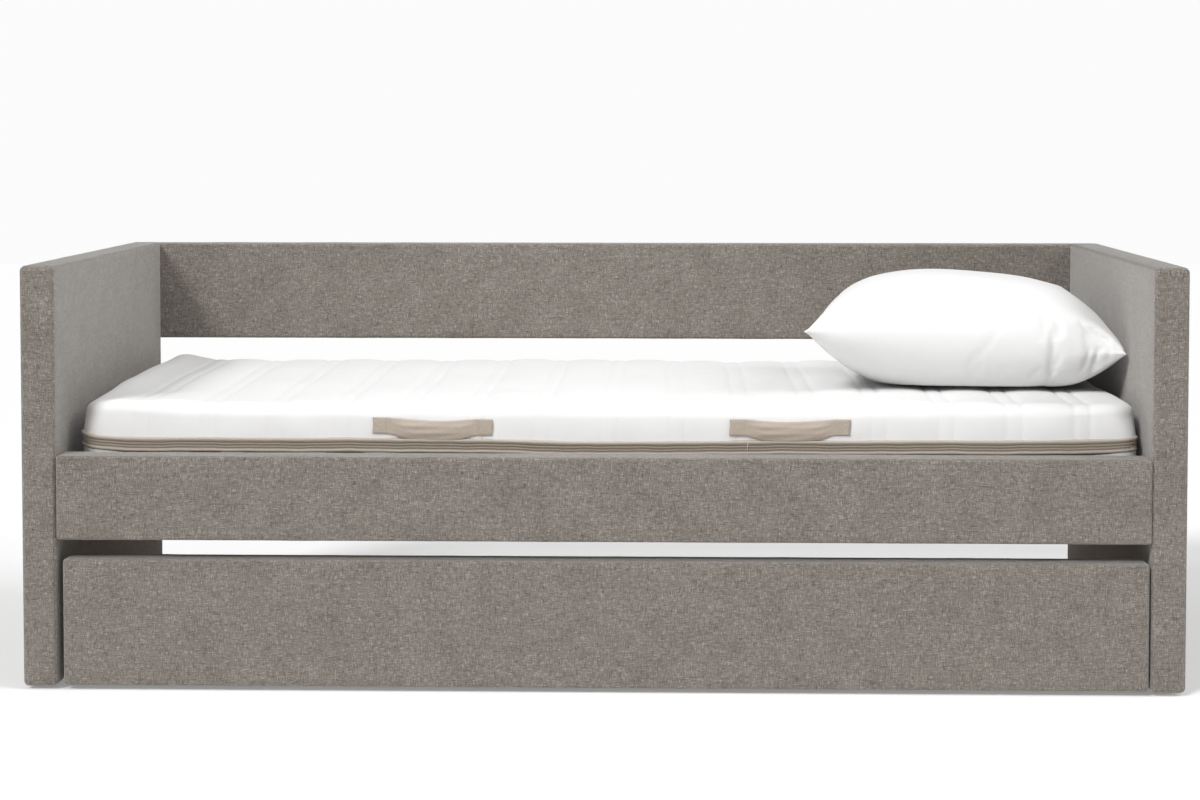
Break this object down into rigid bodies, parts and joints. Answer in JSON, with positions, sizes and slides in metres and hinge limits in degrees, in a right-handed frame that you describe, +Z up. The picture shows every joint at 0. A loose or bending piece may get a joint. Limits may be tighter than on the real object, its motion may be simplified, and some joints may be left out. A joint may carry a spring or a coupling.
{
  "type": "trundle bed",
  "caption": "Upholstered daybed with side panels, a low back panel, slats, mattress and pillow, over a fabric-fronted slatted trundle frame that rolls out on casters.",
  "frame": {"origin": "middle of the footprint on the floor", "axes": "+X to the right along the bed's length, -Y towards the front where the trundle pulls out, +Z up"},
  "size_m": [2.18, 1.04, 0.8],
  "materials": {
    "upholstery_fabric": "taupe-grey melange flat weave over thin foam",
    "board_wood": "plain particle board core",
    "slat_wood": "planed pale pine",
    "mattress_fabric": "white quilted knitted ticking",
    "band_fabric": "taupe zip tape with paler piping",
    "handle_webbing": "beige woven webbing, cross-stitched ends",
    "pillow_fabric": "smooth white cotton",
    "bracket_steel": "zinc-plated pressed steel",
    "axle_steel": "bright turned steel",
    "wheel_plastic": "black moulded plastic",
    "glide_plastic": "black moulded plastic"
  },
  "bodies": {
    "bed_frame": {"left_side_panel_cover": "upholstery_fabric", "left_side_panel_core": "board_wood", "right_side_panel_cover": "upholstery_fabric", "right_side_panel_core": "board_wood", "back_panel_cover": "upholstery_fabric", "back_panel_core": "board_wood", "front_rail_cover": "upholstery_fabric", "front_rail_core": "board_wood", "rear_rail_cover": "upholstery_fabric", "rear_rail_core": "board_wood", "front_slat_ledger": "slat_wood", "rear_slat_ledger": "slat_wood", "bed_slat_01": "slat_wood", "bed_slat_02": "slat_wood", "bed_slat_03": "slat_wood", "bed_slat_04": "slat_wood", "bed_slat_05": "slat_wood", "bed_slat_06": "slat_wood", "bed_slat_07": "slat_wood", "bed_slat_08": "slat_wood", "bed_slat_09": "slat_wood", "bed_slat_10": "slat_wood", "bed_slat_11": "slat_wood", "bed_slat_12": "slat_wood", "front_left_corner_bracket": "bracket_steel", "front_left_glide": "glide_plastic", "front_right_corner_bracket": "bracket_steel", "front_right_glide": "glide_plastic", "rear_left_corner_bracket": "bracket_steel", "rear_left_glide": "glide_plastic", "rear_right_corner_bracket": "bracket_steel", "rear_right_glide": "glide_plastic", "left_back_panel_bracket": "bracket_steel", "right_back_panel_bracket": "bracket_steel"},
    "mattress": {"mattress": "mattress_fabric", "mattress_zip_band": "band_fabric", "mattress_handle_front_left": "handle_webbing", "mattress_handle_front_right": "handle_webbing", "mattress_handle_rear_left": "handle_webbing", "mattress_handle_rear_right": "handle_webbing"},
    "pillow": {"pillow": "pillow_fabric"},
    "trundle": {"trundle_front_cover": "upholstery_fabric", "trundle_front_core": "board_wood", "trundle_left_rail": "slat_wood", "trundle_right_rail": "slat_wood", "trundle_front_cross_rail": "slat_wood", "trundle_rear_cross_rail": "slat_wood", "trundle_slat_deck": "slat_wood", "front_left_caster_bracket": "bracket_steel", "front_left_caster_axle": "axle_steel", "front_right_caster_bracket": "bracket_steel", "front_right_caster_axle": "axle_steel", "rear_left_caster_bracket": "bracket_steel", "rear_left_caster_axle": "axle_steel", "rear_right_caster_bracket": "bracket_steel", "rear_right_caster_axle": "axle_steel"},
    "front_left_wheel": {"front_left_caster_wheel": "wheel_plastic"},
    "front_right_wheel": {"front_right_caster_wheel": "wheel_plastic"},
    "rear_left_wheel": {"rear_left_caster_wheel": "wheel_plastic"},
    "rear_right_wheel": {"rear_right_caster_wheel": "wheel_plastic"}
  },
  "joints": [
    {"name": "trundle_slide", "type": "slide", "parent": "bed_frame", "child": "trundle", "axis": [0, -1, 0], "range_m": [0, 0.95]},
    {"name": "mattress_lift", "type": "slide", "parent": "bed_frame", "child": "mattress", "axis": [0, 0, 1], "range_m": [0, 0.5]},
    {"name": "pillow_lift", "type": "slide", "parent": "mattress", "child": "pillow", "axis": [0, 0, 1], "range_m": [0, 0.3]},
    {"name": "front_left_wheel_spin", "type": "hinge", "parent": "trundle", "child": "front_left_wheel", "pos_m": [-0.9742, -0.38, 0.025], "axis": [1, 0, 0], "continuous": true},
    {"name": "front_right_wheel_spin", "type": "hinge", "parent": "trundle", "child": "front_right_wheel", "pos_m": [0.9822, -0.38, 0.025], "axis": [1, 0, 0], "continuous": true},
    {"name": "rear_left_wheel_spin", "type": "hinge", "parent": "trundle", "child": "rear_left_wheel", "pos_m": [-0.9742, 0.36, 0.025], "axis": [1, 0, 0], "continuous": true},
    {"name": "rear_right_wheel_spin", "type": "hinge", "parent": "trundle", "child": "rear_right_wheel", "pos_m": [0.9822, 0.36, 0.025], "axis": [1, 0, 0], "continuous": true}
  ],
  "couplings": [
    {"joint": "front_left_wheel_spin", "follows": "trundle_slide", "rad_per_m": 40},
    {"joint": "front_right_wheel_spin", "follows": "trundle_slide", "rad_per_m": 40},
    {"joint": "rear_left_wheel_spin", "follows": "trundle_slide", "rad_per_m": 40},
    {"joint": "rear_right_wheel_spin", "follows": "trundle_slide", "rad_per_m": 40}
  ]
}
